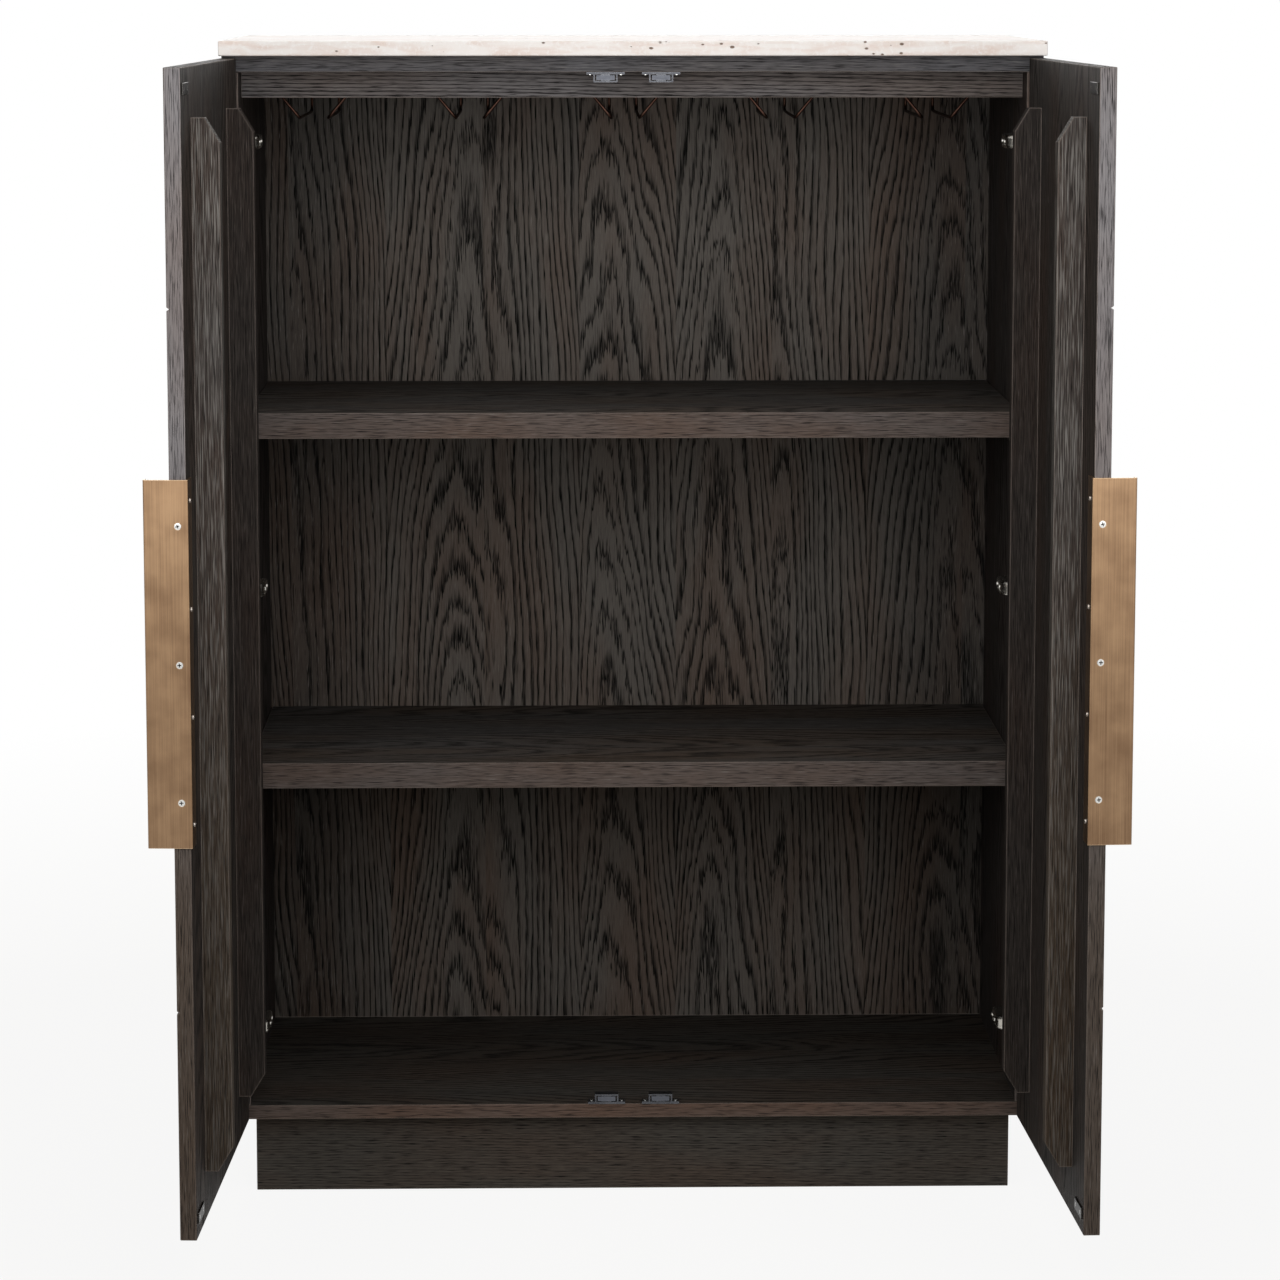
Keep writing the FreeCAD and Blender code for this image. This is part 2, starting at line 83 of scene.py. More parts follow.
# Oak veneer, plain sliced, stained nearly black and lacquered satin: the open pores stay darker than the wood
# between them, so the eye sees ragged black arches and lines on a grey brown ground.
# Pairs of sizes are mm across and along the grain. Names with From and To are where an effect starts and is full.
oakVeneer = {
    "ring": 7.8,            # mm between growth rings
    "pith": 42.0,           # mm from the slice to the middle of the log
    "aside": 0.0,           # mm from the piece to the middle of the log, sideways
    "unbroken": 10000.0,    # mm, wider than any piece, for wood that is one leaf
    "leafShift": 20.5,      # keeps the count of leaves above zero, with a leaf in the middle
    "heart": (1.2, -0.1),   # where the heart lies in a leaf: how far that spreads, and from where
    "oneHeart": (0.0, 0.5),
    "alongShift": 3000.0,   # mm that leaves differ along the grain, and into the wood
    "throughShift": 900.0,
    "taper": 0.085,         # how fast the rings close along the grain, it sets the length of the arches
    "lineTaper": 0.15,      # the share of it in leaves cut beside the heart
    "archTo": 0.3,          # how far off the heart a leaf still has arches, and from where it has only lines
    "lineFrom": 0.62,
    "wave": 50.0,           # mm of slow drift of the rings
    "waveSize": (75.0, 420.0),
    "wander": 5.0,          # mm of small drift
    "wanderSize": (11.0, 120.0),
    "ragged": 9.5,          # mm that the pores shift the edge of a band
    "raggedSize": (1.7, 28.0),
    "lineRagged": 0.2,      # the share of it where lines run straight
    "bandStart": 0.1,       # a band of pores in shares of a ring: its sharp edge, where it fades, its least and
    "bandFade": 0.12,       # its greatest width
    "bandNarrow": 0.36,
    "bandWide": 0.8,
    "faceBands": 1.0,       # how dark the bands are on the faces, and on the lipped edges
    "lipBands": 0.5,
    "poreSize": (0.9, 24.0),    # single pores, drawn wider than real ones so that they show
    "poreFrom": 0.53,
    "poreTo": 0.64,
    "facePores": 0.3,       # how strongly single pores show on the faces, and on the lipped edges
    "lipPores": 0.65,
    "brokenFrom": 0.3,      # pores break up the bands and the worn arrises
    "brokenTo": 0.55,
    "brokenLeast": 0.5,
    "lipFacing": 0.7,       # how squarely a face looks sideways to count as a lipped edge
    "lipRing": 1.9,         # mm between the lines on the lipped edges, which are cut from straight wood
    "lipStart": 500.0,      # mm that keep the count of those lines above zero
    "cloudSize": (90.0, 330.0),    # the stain takes unevenly, in clouds
    "cloudFrom": 0.4,
    "cloudTo": 0.7,
    "lowShade": 0.0,            # how much painted shade darkens and warms the lower half of the lipped edges
    "lowShadeFrom": 250.0,      # mm above the middle
    "lowShadeTo": -350.0,
    "faceLowShade": 0.0,        # the share of it that the faces get
    "lowShadeStreak": 0.3,      # the share of the streaks that still shows there
    "sideShade": 0.0,       # how much painted shade darkens the wood far out to both sides
    "sideFrom": 290.0,      # mm from the middle
    "sideTo": 430.0,
    "dust": 0.5,            # how much filler dust is left in some pores
    "dustFrom": 0.37,
    "dustTo": 0.25,
    "sheenStreak": 0.0,          # how strongly pale streaks of painted sheen show along the grain
    "streakSize": (1.1, 45.0),
    "streakFrom": 0.5,
    "streakTo": 0.66,
    "arris": 2.2,           # mm of each arris that is rubbed, and how thin the stain is there
    "arrisFrom": 0.995,
    "arrisTo": 0.86,
    "arrisWear": 0.62,
    "ground": "#67615d",
    "groundWarm": "#66564d",
    "lip": "#6b6461",       # the lippings took less stain than the faces
    "lipWarm": "#6b5a51",
    "pore": "#0f0d0c",
    "fleck": "#8e8a85",
    "worn": "#a2958c",
    # the warm dark of the painted shade low on the doors and battens
    "lowShadeTone": "#4a3d2f",
    "roughness": 0.56,
    "poreRough": 0.22,      # pores are rougher than the lacquer by this
    "poreDepth": 0.35,      # mm
    "relief": 0.6,
    "gloss": 0.1,
}
riftSawn = {"ring": 2.6, "wave": 6.0, "wander": 0.8, "taper": 0.01, "pith": 260.0, "aside": 260.0, "ragged": 1.0,
            "facePores": 0.7, "faceBands": 0.45}
# how deep the stain went, with painted shade on the pieces that lie in shade and painted sheen on the pale lippings of
# the doors and the top
paleStainSideShade = {"ground": "#6a645e", "groundWarm": "#695a50", "pore": "#0b0a09", "sideShade": 0.45}
topStainAndSheen = {"ground": "#504b48", "groundWarm": "#504139", "lip": "#605f62", "lipWarm": "#5e5a59"}
midStainAndShade = {"ground": "#43403e", "groundWarm": "#443a32", "lip": "#645d5a", "lipWarm": "#63534a"}
deepStainAndShade = {"ground": "#322e2c", "groundWarm": "#352b26", "fleck": "#6f6761"}
floorStainAndShade = {"ground": "#393632", "groundWarm": "#3a312a", "lip": "#665a54", "lipWarm": "#675145",
              "fleck": "#6f6761"}
apronStain = {"ground": "#6e6a6a", "groundWarm": "#6c615b", "faceBands": 0.85, "ring": 3.4}
plinthStainAndShade = {"ground": "#4d4944", "groundWarm": "#4e433b", "lip": "#4d4944", "lipWarm": "#4e433b",
               "fleck": "#6f6a61"}
doorStainShadeAndSheen = {"ground": "#312d2a", "groundWarm": "#342a24", "lip": "#848081", "lipWarm": "#7c716d", "lowShade": 0.78}
battenStainShadeAndSheen = {"ground": "#35322f", "groundWarm": "#37302a", "lip": "#4b4643", "lipWarm": "#4a3e37",
               "sheenStreak": 0.75, "lowShade": 0.68, "faceLowShade": 1.0}
innerStainAndShade = {"ground": "#231f1d", "groundWarm": "#281f1a", "lip": "#312c29", "lipWarm": "#352a24",
              "fleck": "#6f6761", "sheenStreak": 0.2}
# which way the grain runs, which way the leaves lie side by side, how wide a leaf is, and its stain with its painted
# shade and sheen
oakPieces = {
    "back_panel": dict(paleStainSideShade, along="Z", across="X", leaf=128.0, seed=47.0),
    "left_door_panel": dict(doorStainShadeAndSheen, along="Z", across="Y", leaf=165.0, seed=3.0),
    "right_door_panel": dict(doorStainShadeAndSheen, along="Z", across="Y", leaf=165.0, seed=11.0),
    "left_side_panel": dict(deepStainAndShade, along="Z", across="Y", leaf=150.0, seed=23.0),
    "right_side_panel": dict(deepStainAndShade, along="Z", across="Y", leaf=150.0, seed=29.0),
    "top_panel": dict(topStainAndSheen, along="X", across="Y", leaf=225.0, seed=31.0),
    "upper_shelf": dict(midStainAndShade, along="X", across="Y", leaf=200.0, seed=53.0),
    "lower_shelf": dict(midStainAndShade, along="X", across="Y", leaf=200.0, seed=59.0),
    "bottom_panel": dict(floorStainAndShade, along="X", across="Y", leaf=225.0, seed=61.0),
    "top_apron": dict(dict(riftSawn, **apronStain), along="X", across="Z", seed=67.0),
    "plinth_front": dict(riftSawn, along="X", across="Z", seed=71.0, **plinthStainAndShade),
    "plinth_left": dict(riftSawn, along="Y", across="Z", seed=73.0, **plinthStainAndShade),
    "plinth_right": dict(riftSawn, along="Y", across="Z", seed=79.0, **plinthStainAndShade),
    "left_hinge_batten": dict(riftSawn, along="Z", across="Y", seed=83.0, **innerStainAndShade),
    "left_pull_batten": dict(riftSawn, along="Z", across="Y", seed=89.0, **battenStainShadeAndSheen),
    "right_hinge_batten": dict(riftSawn, along="Z", across="Y", seed=97.0, **innerStainAndShade),
    "right_pull_batten": dict(riftSawn, along="Z", across="Y", seed=101.0, **battenStainShadeAndSheen),
}


def woodOf(kind, node, along, across, seed, leaf=0.0, **changes):
    look = dict(oakVeneer, **changes)
    material, tree = newMaterial(kind + node.title().replace("_", ""))
    corners = [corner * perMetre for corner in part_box(node)]
    middle = tuple((corners[0] + corners[1]) / 2)
    through = (set("XYZ") - {along, across}).pop()
    place = put(tree, "ShaderNodeTexCoord", out="Object")
    fromMiddle = put(tree, "ShaderNodeVectorMath", {0: place, 1: (perMetre,) * 3, 2: tuple(-c for c in middle)},
                     operation="MULTIPLY_ADD")
    axes = put(tree, "ShaderNodeSeparateXYZ", {0: fromMiddle}).node.outputs
    depth, length = axes[through], axes[along]

    # the leaf of veneer that a point is on, and three numbers that are that leaf's own
    wide = leaf or look["unbroken"]
    inLeaves = put(tree, "ShaderNodeMath", {0: axes[across], 1: 1 / wide, 2: look["leafShift"]},
                   operation="MULTIPLY_ADD")
    leafNumber = put(tree, "ShaderNodeMath", {0: inLeaves}, operation="FLOOR")
    leafSeed = put(tree, "ShaderNodeMath", {0: leafNumber, 1: seed}, operation="ADD")
    own = put(tree, "ShaderNodeTexWhiteNoise", {"W": leafSeed}, out="Color", noise_dimensions="1D")
    chance = put(tree, "ShaderNodeSeparateColor", {0: own}).node.outputs
    onLeaf = put(tree, "ShaderNodeMath", {0: inLeaves}, operation="FRACT")
    spread, start = look["heart"] if leaf else look["oneHeart"]
    lean = put(tree, "ShaderNodeMath", {0: chance[0], 1: spread, 2: start}, operation="MULTIPLY_ADD")
    # a leaf cut beside the heart has straight lines, one cut over it has arches
    aside = put(tree, "ShaderNodeMath", {0: lean, 1: 0.5}, operation="SUBTRACT")
    offHeart = put(tree, "ShaderNodeMath", {0: aside}, operation="ABSOLUTE")
    closing = put(tree, "ShaderNodeMapRange", {0: offHeart, 1: look["archTo"], 2: look["lineFrom"],
                                               3: look["taper"], 4: look["taper"] * look["lineTaper"]})
    fromHeart = put(tree, "ShaderNodeMath", {0: onLeaf, 1: lean}, operation="SUBTRACT")
    u = put(tree, "ShaderNodeMath", {0: fromHeart, 1: wide, 2: look["aside"]}, operation="MULTIPLY_ADD")
    w = put(tree, "ShaderNodeMath", {0: chance[1], 1: look["alongShift"], 2: length}, operation="MULTIPLY_ADD")
    n = put(tree, "ShaderNodeMath", {0: chance[2], 1: look["throughShift"], 2: depth}, operation="MULTIPLY_ADD")
    grain = put(tree, "ShaderNodeCombineXYZ", {0: u, 1: n, 2: w})

    def alongGrain(size, detail):
        # noise that is stretched along the grain
        cell = (1 / size[0], 1 / size[0], 1 / size[1])
        squeezed = put(tree, "ShaderNodeVectorMath", {0: grain, 1: cell}, operation="MULTIPLY")
        return put(tree, "ShaderNodeTexNoise", {"Vector": squeezed, "Scale": 1.0, "Detail": detail})

    # rings about the middle of the log, closing along the grain
    sideways = put(tree, "ShaderNodeMath", {0: u, 1: u}, operation="MULTIPLY")
    inward = put(tree, "ShaderNodeMath", {0: depth, 1: look["pith"]}, operation="ADD")
    squares = put(tree, "ShaderNodeMath", {0: inward, 1: inward, 2: sideways}, operation="MULTIPLY_ADD")
    radius = put(tree, "ShaderNodeMath", {0: squares}, operation="SQRT")
    face = put(tree, "ShaderNodeMath", {0: w, 1: closing, 2: radius}, operation="MULTIPLY_ADD")
    # edges are lipped, so their lines run straight
    facing = put(tree, "ShaderNodeTexCoord", out="Normal")
    sides = put(tree, "ShaderNodeSeparateXYZ", {0: facing}).node.outputs
    edgeOn = put(tree, "ShaderNodeMath", {0: sides[across]}, operation="ABSOLUTE")
    lipped = put(tree, "ShaderNodeMath", {0: edgeOn, 1: look["lipFacing"]}, operation="GREATER_THAN")
    lip = put(tree, "ShaderNodeMath", {0: depth, 1: look["ring"] / look["lipRing"], 2: look["lipStart"]},
              operation="MULTIPLY_ADD")
    field = put(tree, "ShaderNodeMix", {0: lipped, 2: face, 3: lip}, data_type="FLOAT")
    # three sizes of drift; the smallest is strong where a ring is cut flat, on the arches
    steep = put(tree, "ShaderNodeMath", {0: sideways, 1: squares}, operation="DIVIDE")
    onArch = put(tree, "ShaderNodeMapRange", {0: steep, 3: look["ragged"], 4: look["ragged"] * look["lineRagged"]})
    for amount, size, detail in ((look["wave"], look["waveSize"], 1.0), (look["wander"], look["wanderSize"], 2.0),
                                 (onArch, look["raggedSize"], 1.0)):
        drift = alongGrain(size, detail)
        field = put(tree, "ShaderNodeMath", {0: drift, 1: amount, 2: field}, operation="MULTIPLY_ADD")
    count = put(tree, "ShaderNodeMath", {0: field, 1: look["ring"]}, operation="DIVIDE")
    inRing = put(tree, "ShaderNodeMath", {0: count}, operation="FRACT")
    ringNumber = put(tree, "ShaderNodeMath", {0: count}, operation="FLOOR")
    ringChance = put(tree, "ShaderNodeTexWhiteNoise", {"W": ringNumber}, noise_dimensions="1D")
    # a band of pores starts sharply and fades into the late wood, and each year's is different
    starts = put(tree, "ShaderNodeMapRange", {0: inRing, 2: look["bandStart"]})
    widest = put(tree, "ShaderNodeMapRange", {0: ringChance, 3: look["bandNarrow"], 4: look["bandWide"]})
    fades = put(tree, "ShaderNodeMapRange", {0: inRing, 1: look["bandFade"], 2: widest, 3: 1.0, 4: 0.0},
                interpolation_type="SMOOTHSTEP")
    band = put(tree, "ShaderNodeMath", {0: starts, 1: fades}, operation="MULTIPLY")
    # single pores lie over the bands and break them up
    dashes = alongGrain(look["poreSize"], 2.0)
    poreMask = put(tree, "ShaderNodeMapRange", {0: dashes, 1: look["poreFrom"], 2: look["poreTo"]})
    broken = put(tree, "ShaderNodeMapRange", {0: dashes, 1: look["brokenFrom"], 2: look["brokenTo"],
                                              3: look["brokenLeast"]})
    bandShare = put(tree, "ShaderNodeMapRange", {0: lipped, 3: look["faceBands"], 4: look["lipBands"]})
    pores = put(tree, "ShaderNodeMath", {0: band, 1: broken}, operation="MULTIPLY")
    lines = put(tree, "ShaderNodeMath", {0: pores, 1: bandShare}, operation="MULTIPLY")
    poreShare = put(tree, "ShaderNodeMapRange", {0: lipped, 3: look["facePores"], 4: look["lipPores"]})
    dark = put(tree, "ShaderNodeMath", {0: poreMask, 1: poreShare, 2: lines}, operation="MULTIPLY_ADD",
               use_clamp=True)

    # the stain takes unevenly, and the lippings took less of it; on the doors and the top the pale lippings are also
    # painted sheen
    cloud = alongGrain(look["cloudSize"], 3.0)
    warmth = put(tree, "ShaderNodeMapRange", {0: cloud, 1: look["cloudFrom"], 2: look["cloudTo"]})
    tones = [put(tree, "ShaderNodeMix", {0: warmth, 6: linear(look[cool]), 7: linear(look[warm])}, out=2,
                 data_type="RGBA") for cool, warm in (("ground", "groundWarm"), ("lip", "lipWarm"))]
    tone = put(tree, "ShaderNodeMix", {0: lipped, 6: tones[0], 7: tones[1]}, out=2, data_type="RGBA")
    # painted shade: darker and warmer towards the bottom
    low = put(tree, "ShaderNodeMapRange", {0: length, 1: look["lowShadeFrom"], 2: look["lowShadeTo"], 4: look["lowShade"]},
              interpolation_type="SMOOTHSTEP")
    lowShadeShare = put(tree, "ShaderNodeMapRange", {0: lipped, 3: look["faceLowShade"]})
    lowShade = put(tree, "ShaderNodeMath", {0: low, 1: lowShadeShare}, operation="MULTIPLY")
    # painted shade: darker far out to both sides
    farOut = put(tree, "ShaderNodeMath", {0: axes[across]}, operation="ABSOLUTE")
    sideShadeShare = put(tree, "ShaderNodeMapRange", {0: farOut, 1: look["sideFrom"], 2: look["sideTo"],
                                              4: look["sideShade"]}, interpolation_type="SMOOTHSTEP")
    dust = put(tree, "ShaderNodeMapRange", {0: dashes, 1: look["dustFrom"], 2: look["dustTo"], 4: look["dust"]})
    # painted sheen: pale streaks along the grain, fainter in the painted shade low down
    clear = put(tree, "ShaderNodeMapRange", {0: lowShade, 3: look["sheenStreak"], 4: look["sheenStreak"] * look["lowShadeStreak"]})
    drawn = alongGrain(look["streakSize"], 2.0)
    sheenStreak = put(tree, "ShaderNodeMapRange", {0: drawn, 1: look["streakFrom"], 2: look["streakTo"], 4: clear})
    # stain rubbed thin on the arrises
    surface = put(tree, "ShaderNodeNewGeometry", out="Normal")
    rounded = put(tree, "ShaderNodeBevel", {"Radius": look["arris"] * mm}, samples=4)
    turn = put(tree, "ShaderNodeVectorMath", {0: surface, 1: rounded}, out="Value", operation="DOT_PRODUCT")
    arris = put(tree, "ShaderNodeMapRange", {0: turn, 1: look["arrisFrom"], 2: look["arrisTo"],
                                             4: look["arrisWear"]})
    rubbed = put(tree, "ShaderNodeMath", {0: arris, 1: broken}, operation="MULTIPLY")
    # the layers of colour, from the wood up
    for share, colour in ((lowShade, "lowShadeTone"), (sideShadeShare, "pore"), (dark, "pore"), (dust, "fleck"), (sheenStreak, "fleck"),
                          (rubbed, "worn")):
        tone = put(tree, "ShaderNodeMix", {0: share, 6: tone, 7: linear(look[colour])}, out=2, data_type="RGBA")

    rough = put(tree, "ShaderNodeMath", {0: dark, 1: look["poreRough"], 2: look["roughness"]},
                operation="MULTIPLY_ADD")
    sunk = put(tree, "ShaderNodeMath", {0: dark, 1: -1.0}, operation="MULTIPLY")
    bump = put(tree, "ShaderNodeBump", {"Strength": look["relief"], "Distance": look["poreDepth"] * mm,
                                        "Height": sunk})
    shader = put(tree, "ShaderNodeBsdfPrincipled", {"Base Color": tone, "Roughness": rough, "Normal": bump,
                                                    "IOR": 1.5, "Specular IOR Level": look["gloss"]})
    tree.links.new(shader, tree.nodes.new("ShaderNodeOutputMaterial").inputs[0])
    dress([node], material)


for node, grain in oakPieces.items():
    woodOf("StainedOak", node, **grain)
# Sawn poplar inside the plinth, bare: pale and dull, with faint grain
poplar = {"ring": 6.0, "wave": 14.0, "taper": 0.06, "pith": 80.0, "aside": 30.0, "wander": 3.0, "ragged": 1.5,
          "ground": "#b79b78", "groundWarm": "#ab8d69", "lip": "#b79b78", "lipWarm": "#ab8d69",
          "pore": "#94775a", "fleck": "#c9b18e", "worn": "#c2a986", "roughness": 0.62}
for node, seed in (("plinth_back", 103.0), ("plinth_bearer", 107.0), ("plinth_corner_blocks", 109.0)):
    woodOf("BarePoplar", node, "X", "Z", seed, **poplar)
print("wood:", len(bpy.data.materials), "materials")

# Travertine, cut across its beds and honed: milky bands and clouds, with small open pits in rows
travertine = {
    "milk": "#e8e2dd", "blush": "#dccbc1", "chalk": "#efecea", "pit": "#6f594a",
    "bed": (56.0, 28.0, 14.0),    # mm of a cloud along, into and across the beds
    "waviness": 0.6,
    "blushFrom": 0.42, "blushTo": 0.68,
    "crystals": 0.22,             # per mm
    "chalkFrom": 0.5, "chalkTo": 0.7, "chalkMost": 0.6,
    "pitSpacing": 6.5,            # mm
    "pitLong": 0.6,               # pits along the beds, as a share of those across
    "bedScale": 0.7,              # the pits keep to some beds
    "bedFrom": 0.4, "bedTo": 0.62, "bedLeast": 0.05,
    "pitFrom": 0.25, "pitTo": 0.9,
    "pitSize": 0.3, "pitEdge": 0.09,    # shares of the spacing
    "pitDepth": 1.2,              # mm
    "relief": 0.8,
    "roughness": 0.38, "crystalRough": 0.25,
}


def honedTravertine(look):
    material, tree = newMaterial("HonedTravertine")
    place = put(tree, "ShaderNodeTexCoord", out="Object")
    scaled = put(tree, "ShaderNodeVectorMath", {0: place, "Scale": perMetre}, operation="SCALE")
    beds = put(tree, "ShaderNodeVectorMath", {0: scaled, 1: tuple(1 / s for s in look["bed"])}, operation="MULTIPLY")
    cloud = put(tree, "ShaderNodeTexNoise", {"Vector": beds, "Scale": 1.0, "Detail": 5.0,
                                             "Distortion": look["waviness"]})
    blush = put(tree, "ShaderNodeMapRange", {0: cloud, 1: look["blushFrom"], 2: look["blushTo"]})
    crystals = put(tree, "ShaderNodeTexNoise", {"Vector": scaled, "Scale": look["crystals"], "Detail": 4.0,
                                                "Roughness": 0.65})
    chalk = put(tree, "ShaderNodeMapRange", {0: crystals, 1: look["chalkFrom"], 2: look["chalkTo"],
                                             4: look["chalkMost"]})
    # pits, in cells that lie along the beds
    spacing = look["pitSpacing"]
    cells = put(tree, "ShaderNodeVectorMath", {0: scaled, 1: (look["pitLong"] / spacing, 1 / spacing, 1 / spacing)},
                operation="MULTIPLY")
    cell = put(tree, "ShaderNodeTexVoronoi", {"Vector": cells, "Scale": 1.0, "Randomness": 1.0}).node
    cellChance = put(tree, "ShaderNodeSeparateColor", {0: cell.outputs["Color"]})
    bedChance = put(tree, "ShaderNodeTexNoise", {"Vector": beds, "Scale": look["bedScale"], "Detail": 2.0})
    pitted = put(tree, "ShaderNodeMapRange", {0: bedChance, 1: look["bedFrom"], 2: look["bedTo"], 3: look["bedLeast"]})
    openHere = put(tree, "ShaderNodeMath", {0: cellChance, 1: pitted}, operation="MULTIPLY")
    pitSize = put(tree, "ShaderNodeMapRange", {0: openHere, 1: look["pitFrom"], 2: look["pitTo"], 4: look["pitSize"]})
    gap = put(tree, "ShaderNodeMath", {0: pitSize, 1: cell.outputs["Distance"]}, operation="SUBTRACT")
    pit = put(tree, "ShaderNodeMapRange", {0: gap, 2: look["pitEdge"]})
    tone = linear(look["milk"])
    for share, colour in ((blush, "blush"), (chalk, "chalk"), (pit, "pit")):
        tone = put(tree, "ShaderNodeMix", {0: share, 6: tone, 7: linear(look[colour])}, out=2, data_type="RGBA")
    rough = put(tree, "ShaderNodeMath", {0: crystals, 1: look["crystalRough"], 2: look["roughness"]},
                operation="MULTIPLY_ADD")
    hollow = put(tree, "ShaderNodeMath", {0: pit, 1: -1.0}, operation="MULTIPLY")
    bump = put(tree, "ShaderNodeBump", {"Strength": look["relief"], "Distance": look["pitDepth"] * mm,
                                        "Height": hollow})
    shader = put(tree, "ShaderNodeBsdfPrincipled", {"Base Color": tone, "Roughness": rough, "Normal": bump, "IOR": 1.5})
    tree.links.new(shader, tree.nodes.new("ShaderNodeOutputMaterial").inputs[0])
    return material


dress(["stone_top"], honedTravertine(travertine))
print("stone: done")

# Metals: each is brushed, drawn, plated or coated, and that sets the direction and size of its marks.
# "stretch" is the size of a mark in mm, "bump" its depth and "arris" how much of an edge is rubbed bright.
metals = {
    # bronze sheet, brushed along its length and waxed: soft brown with fine upright lines, bright on its arrises
    "BrushedBronze": {"base": "#94785c", "mark": "#5e4634", "worn": "#dcc09e", "roughness": 0.34,
                      "stretch": (0.8, 0.8, 160.0), "contrast": 0.7, "bump": 0.05, "arris": 1.4},
    # copper plated wire, darkened: brown with brighter rubbed spots
    "AntiqueCopper": {"base": "#46322a", "mark": "#2e1f19", "worn": "#5f463a", "roughness": 0.42,
                      "stretch": (1.5, 9.0, 3.0), "contrast": 0.6, "bump": 0.02, "arris": 0.8},
    # zinc plate on turned steel: pale and cool, slightly mottled
    "ZincPlate": {"base": "#d9d8d4", "mark": "#b3b2b0", "worn": "#f2f1ee", "roughness": 0.26,
                  "stretch": (0.8, 0.8, 0.8), "contrast": 0.5, "bump": 0.02, "arris": 0.4},
    # nickel plate on pressed steel: warmer than zinc, with faint drawing marks
    "NickelPlate": {"base": "#bcb8b0", "mark": "#98948c", "worn": "#e2dfd8", "roughness": 0.24,
                    "stretch": (0.6, 8.0, 0.6), "contrast": 0.4, "bump": 0.02, "arris": 0.5},
    # mill steel, lightly oiled: mid grey with dark scale
    "MillSteel": {"base": "#505155", "mark": "#303134", "worn": "#9a9ba0", "roughness": 0.42,
                  "stretch": (5.0, 0.7, 0.7), "contrast": 0.7, "bump": 0.04, "arris": 0.5},
    # magnet bar between its pole plates: mid grey, ground flat, with bright edges
    "GroundMagnet": {"base": "#595b61", "mark": "#3f4147", "worn": "#9698a0", "roughness": 0.5,
                     "stretch": (4.0, 0.6, 0.6), "contrast": 0.5, "bump": 0.03, "arris": 0.4},
    # black coat on steel plates: glossy at the edges, thin in the middle
    "BlackedSteel": {"base": "#262524", "mark": "#131312", "worn": "#b3afa9", "roughness": 0.4,
                     "stretch": (0.7, 6.0, 0.7), "contrast": 0.7, "bump": 0.03, "arris": 0.9},
}
# what all the metals share; the cross of a screw is darkened with painted shade
metalWear = {"patch": 45.0, "shadeFrom": 0.8, "shadeTo": 1.25, "arrisFrom": 0.99, "arrisTo": 0.85, "arrisWear": 0.8,
             "markRough": 0.22, "relief": 0.5, "crossShade": "#1f1d1b"}


def metalFinish(name):
    look = dict(metalWear, **metals[name])
    material, tree = newMaterial(name)
    place = put(tree, "ShaderNodeTexCoord", out="Object")
    marksAt = put(tree, "ShaderNodeVectorMath", {0: place, 1: tuple(perMetre / s for s in look["stretch"])},
                  operation="MULTIPLY")
    marks = put(tree, "ShaderNodeTexNoise", {"Vector": marksAt, "Scale": 1.0, "Detail": 3.0, "Roughness": 0.6})
    patchAt = put(tree, "ShaderNodeVectorMath", {0: place, "Scale": perMetre / look["patch"]}, operation="SCALE")
    patches = put(tree, "ShaderNodeTexNoise", {"Vector": patchAt, "Scale": 1.0, "Detail": 3.0})
    together = put(tree, "ShaderNodeMath", {0: marks, 1: patches}, operation="ADD")
    shade = put(tree, "ShaderNodeMapRange", {0: together, 1: look["shadeFrom"], 2: look["shadeTo"],
                                             4: look["contrast"]})
    surface = put(tree, "ShaderNodeNewGeometry", out="Normal")
    rounded = put(tree, "ShaderNodeBevel", {"Radius": look["arris"] * mm}, samples=4)
    turn = put(tree, "ShaderNodeVectorMath", {0: surface, 1: rounded}, out="Value", operation="DOT_PRODUCT")
    arris = put(tree, "ShaderNodeMapRange", {0: turn, 1: look["arrisFrom"], 2: look["arrisTo"],
                                             4: look["arrisWear"]})
    # painted shade in the cross of a screw
    recess = put(tree, "ShaderNodeAttribute", out="Fac", attribute_name="recess")
    tone = linear(look["base"])
    for share, colour in ((shade, "mark"), (arris, "worn"), (recess, "crossShade")):
        tone = put(tree, "ShaderNodeMix", {0: share, 6: tone, 7: linear(look[colour])}, out=2, data_type="RGBA")
    rough = put(tree, "ShaderNodeMath", {0: marks, 1: look["markRough"], 2: look["roughness"] - look["markRough"] / 2},
                operation="MULTIPLY_ADD")
    bump = put(tree, "ShaderNodeBump", {"Strength": look["relief"], "Distance": look["bump"] * mm, "Height": marks})
    shader = put(tree, "ShaderNodeBsdfPrincipled", {"Base Color": tone, "Metallic": 1.0, "Roughness": rough,
                                                    "Normal": bump})
    tree.links.new(shader, tree.nodes.new("ShaderNodeOutputMaterial").inputs[0])
    return material


finish = {name: metalFinish(name) for name in metals}
dress([side + "pull" for side in hands], finish["BrushedBronze"])
dress([side + part for side in hands for part in ("hinge_arms", "hinge_plates", "hinge_cups", "hinge_pins")],
      finish["NickelPlate"])
dress(["shelf_pins"], finish["NickelPlate"])
dress(["catch_brackets"], finish["MillSteel"])
dress(["catch_magnets"], finish["GroundMagnet"])
dress([side + "strike_plates" for side in hands], finish["BlackedSteel"])
print("metals:", len(finish), "finishes")


def toMesh(name, source, body, replaced):
    # evaluates a carrier with its tree, keeps the plain mesh as a piece and sets it on its body
    bpy.context.view_layer.update()
    graph = bpy.context.evaluated_depsgraph_get()
    mesh = bpy.data.meshes.new_from_object(source.evaluated_get(graph))
    bpy.data.objects.remove(source)
    mesh.name = name
    piece = bpy.data.objects.new(name, mesh)
    bpy.context.scene.collection.objects.link(piece)
    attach(piece, body)
    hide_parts(*replaced)


